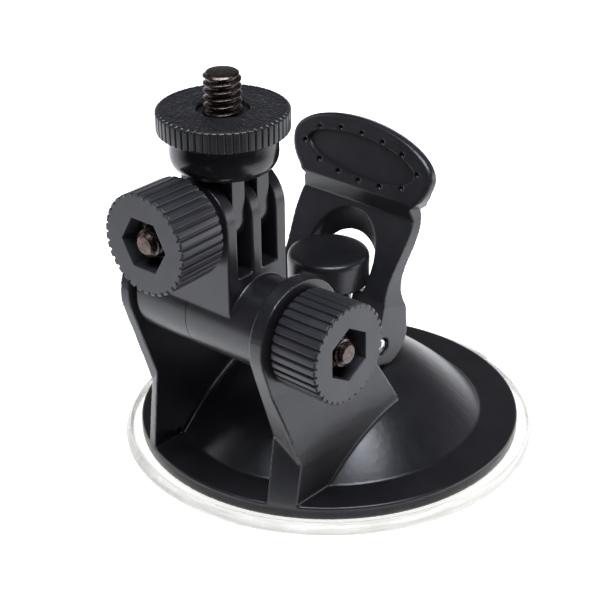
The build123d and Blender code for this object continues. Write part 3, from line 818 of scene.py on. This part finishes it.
def make_world():
    """White backdrop for the camera; other rays see a bright horizon, darker on the camera's side."""
    world = bpy.data.worlds.new("studio")
    world.use_nodes = True
    n = Nodes(world.node_tree)
    n.tree.nodes.clear()
    x, y, z = n.parts(n.add("ShaderNodeTexCoord").outputs["Generated"])
    facing = toward_camera(n, x, y, n.length(x, y))
    ramp = n.add("ShaderNodeValToRGB")
    n.tree.links.new(z, ramp.inputs[0])
    # sine of the elevation, brightness
    stops = ((0.0, 1.0), (0.05, 1.0), (0.22, 0.16), (0.62, 0.06), (0.85, 0.10), (1.0, 0.12))
    while len(ramp.color_ramp.elements) < len(stops):
        ramp.color_ramp.elements.new(0.5)
    for element, (position, value) in zip(ramp.color_ramp.elements, stops):
        element.position = position
        element.color = (value, value, value * 1.06, 1)
    seen = n.add("ShaderNodeBackground")
    seen.inputs["Color"].default_value = (1, 1, 1, 1)
    lit = n.add("ShaderNodeBackground")
    n.join(ramp.outputs["Color"], lit, "Color")
    n.join(n.mapped(facing, 1.0, 0.10, *DARK_HALF), lit, "Strength")
    camera_ray = n.add("ShaderNodeLightPath").outputs["Is Camera Ray"]
    n.join(n.mix(camera_ray, lit, seen).outputs[0], n.add("ShaderNodeOutputWorld"), "Surface")
    bpy.context.scene.world = world


def make_floor():
    """Plain white sweep under the mount; reflections see it end towards the camera."""
    corners = [(-1, -1), (1, -1), (1, 1), (-1, 1)]
    points = [(x * FLOOR_HALF, y * FLOOR_HALF, -FLOOR_DROP) for x, y in corners]
    floor = mesh_piece("floor", points, [(0, 1, 2, 3)])
    n = MaterialNodes("floor_white")
    clouds = n.mapped(n.noise(40.0), 0, 1)
    n.join(n.blend(clouds, (0.84, 0.84, 0.84), (0.86, 0.86, 0.86)), n.shader, "Base Color")
    n.shader.inputs["Roughness"].default_value = 0.6
    n.shader.inputs["Emission Color"].default_value = (1, 1, 1, 1)
    n.shader.inputs["Emission Strength"].default_value = FLOOR_GLOW
    x, y = n.parts(n.place)[:2]
    away = n.length(x, y)
    facing = toward_camera(n, x, y, away)
    darks = []
    for cosines, distances in ((DARK_SECTOR, NEAR_FLOOR), (DARK_HALF, PAPER_END)):
        start, end = (distance * MM for distance in distances)
        darks.append(n.math("MULTIPLY", n.mapped(facing, 0, 1, *cosines), n.mapped(away, 0, 1, start, end)))
    reflected = n.add("ShaderNodeLightPath").outputs["Is Glossy Ray"]
    dark = n.math("MULTIPLY", n.math("MAXIMUM", *darks), reflected)
    black = n.add("ShaderNodeBsdfDiffuse")
    black.inputs["Color"].default_value = (0.02, 0.02, 0.02, 1)
    n.show(n.mix(dark, n.shader, black))
    floor.data.materials.append(n.material)


def make_camera():
    """Camera at the calibrated place and angle."""
    azimuth, elevation = math.radians(CAMERA_AZIMUTH), math.radians(CAMERA_ELEVATION)
    roll = math.radians(CAMERA_ROLL)
    back = Vector((math.sin(azimuth) * math.cos(elevation), -math.cos(azimuth) * math.cos(elevation),
                   math.sin(elevation)))
    right = Vector((math.cos(azimuth), math.sin(azimuth), 0))
    up = back.cross(right)
    turned_right = right * math.cos(roll) + up * math.sin(roll)
    turned_up = up * math.cos(roll) - right * math.sin(roll)
    camera = linked("camera", bpy.data.cameras.new("camera"))
    camera.data.lens = CAMERA_LENS
    camera.data.sensor_width = 36
    camera.data.clip_start = 0.01
    camera.matrix_world = Matrix((turned_right, turned_up, back)).transposed().to_4x4()
    camera.location = Vector(CAMERA_PLACE) * MM
    bpy.context.scene.camera = camera


def make_studio():
    """Floor, world, lights and camera."""
    make_floor()
    make_world()
    make_camera()
    softbox("overhead", (134, -152, 571), width=600, height=190, radiance=15.0, tint=(0.90, 0.93, 1.0))
    softbox("right_rim", (400, 330, 90), width=420, height=160, radiance=3.0)
    softbox("front_left", (-520, -230, 260), width=200, height=260, radiance=1.8)
    view = bpy.context.scene.view_settings
    view.view_transform = "Standard"
    view.look = "None"


make_housing()
make_cup()
make_plunger()
make_lever()
make_arm()
make_head()
make_ring()
make_stud()
make_fasteners()
make_studio()
